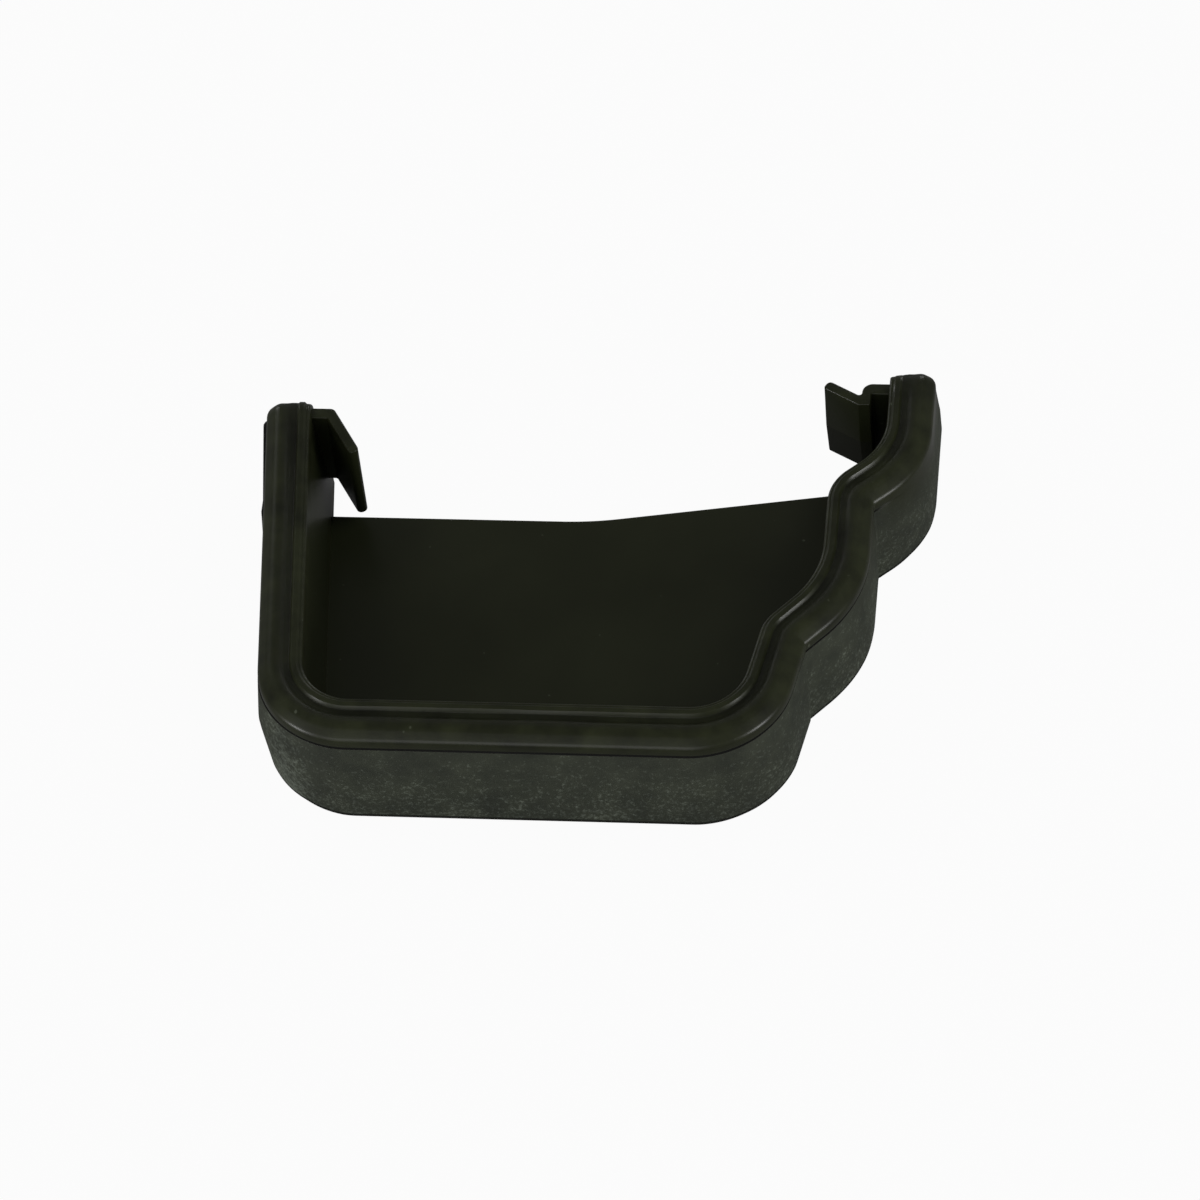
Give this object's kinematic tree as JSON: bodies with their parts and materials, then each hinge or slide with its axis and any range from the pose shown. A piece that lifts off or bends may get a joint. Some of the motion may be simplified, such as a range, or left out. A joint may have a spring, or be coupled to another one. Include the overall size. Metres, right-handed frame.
{
  "type": "gutter end cap",
  "caption": "External end cap for an ogee rain gutter: a deep rimmed collar on a thin end wall, with a spring hook on the back arm and a spring catch on the front arm.",
  "frame": {"origin": "centre of the bounding box in plan, on the outer face of the end wall", "axes": "+X from the back arm to the front arm across the gutter, +Y up the gutter's height, +Z out of the socket's mouth along the gutter"},
  "size_m": [0.1334, 0.1024, 0.0274],
  "materials": {
    "body": "satin black with an olive cast; the collar's outer wall is finely roughened"
  },
  "bodies": {
    "root": {"end_cap": "body"}
  },
  "joints": []
}
